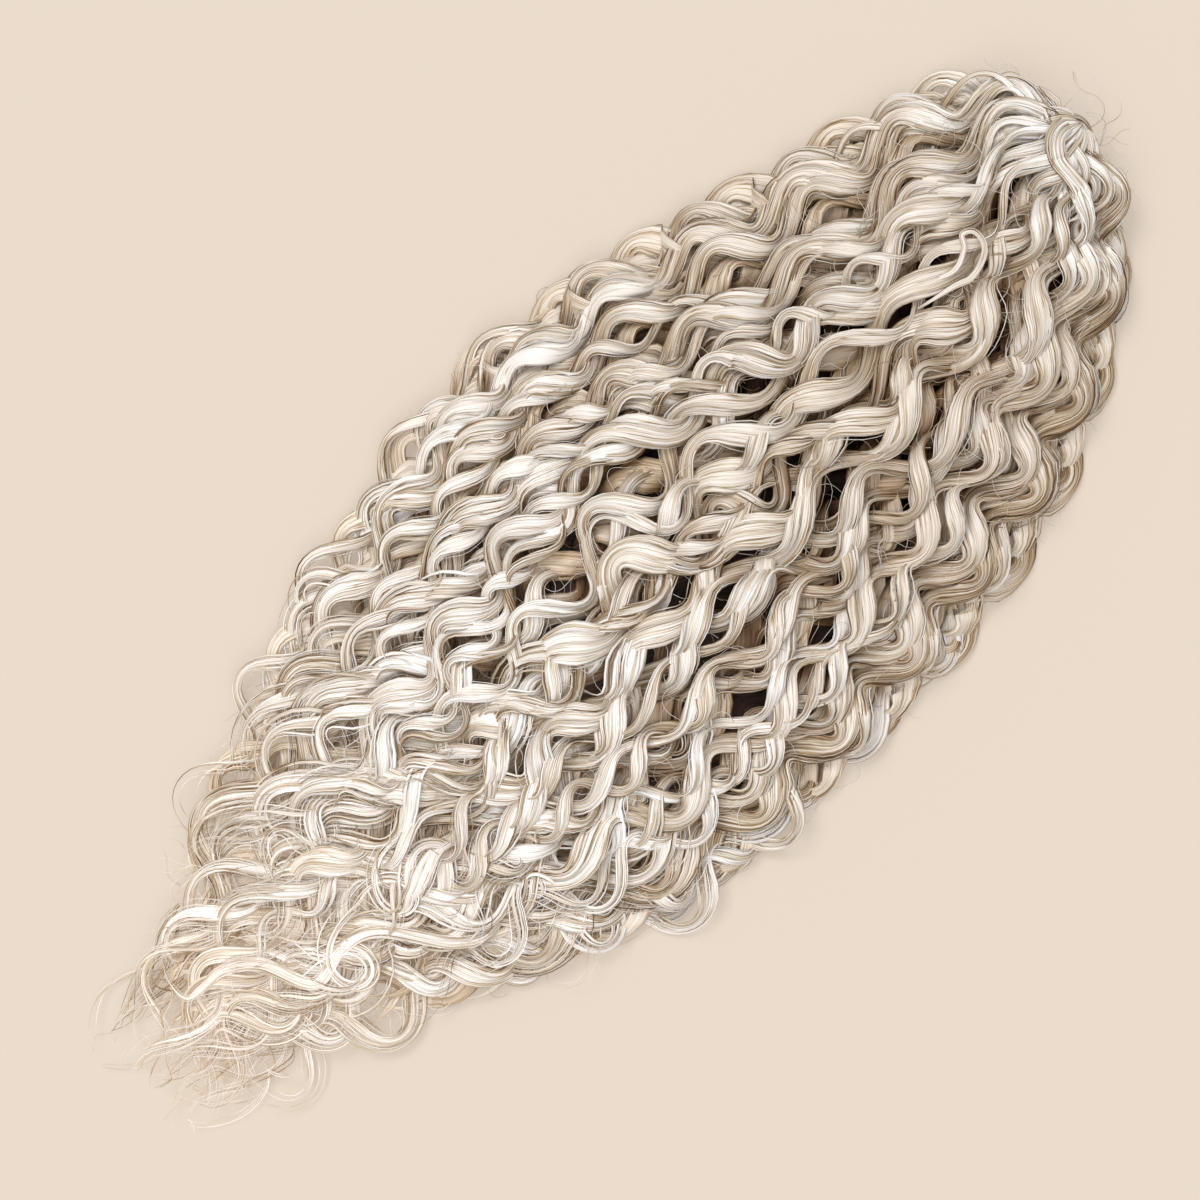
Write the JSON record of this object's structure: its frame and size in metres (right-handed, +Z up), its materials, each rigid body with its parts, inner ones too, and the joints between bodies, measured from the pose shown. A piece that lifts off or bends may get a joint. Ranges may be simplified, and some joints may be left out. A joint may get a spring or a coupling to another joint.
{
  "type": "bundle of braiding hair",
  "caption": "Loose bundle of pale ash-blond deep-wave braiding hair lying flat, gathered into a small knot at the root and frayed into curls at the tips.",
  "frame": {"origin": "middle of the underside, on the surface that the bundle lies on", "axes": "+X from the tips to the gathered root, +Y to the left of someone looking from the tips to the root, +Z up"},
  "size_m": [0.457, 0.1948, 0.0381],
  "materials": {
    "lower_fibre": "satin synthetic hair fibre, shaded between the locks",
    "upper_fibre": "satin synthetic hair fibre with pale highlights along the strands",
    "root_fibre": "satin synthetic hair fibre, greyer at the root",
    "tip_fibre": "satin synthetic hair fibre, palest at the tips"
  },
  "bodies": {
    "root": {"lower_locks": "lower_fibre", "upper_lock_1": "upper_fibre", "upper_lock_2": "upper_fibre", "upper_lock_3": "upper_fibre", "upper_lock_4": "upper_fibre", "upper_lock_5": "upper_fibre", "upper_lock_6": "upper_fibre", "upper_lock_7": "upper_fibre", "upper_lock_8": "upper_fibre", "root_gather": "root_fibre", "root_loop": "root_fibre", "tip_curl_1": "tip_fibre", "tip_curl_2": "tip_fibre", "tip_curl_3": "tip_fibre", "tip_curl_4": "tip_fibre"}
  },
  "joints": []
}
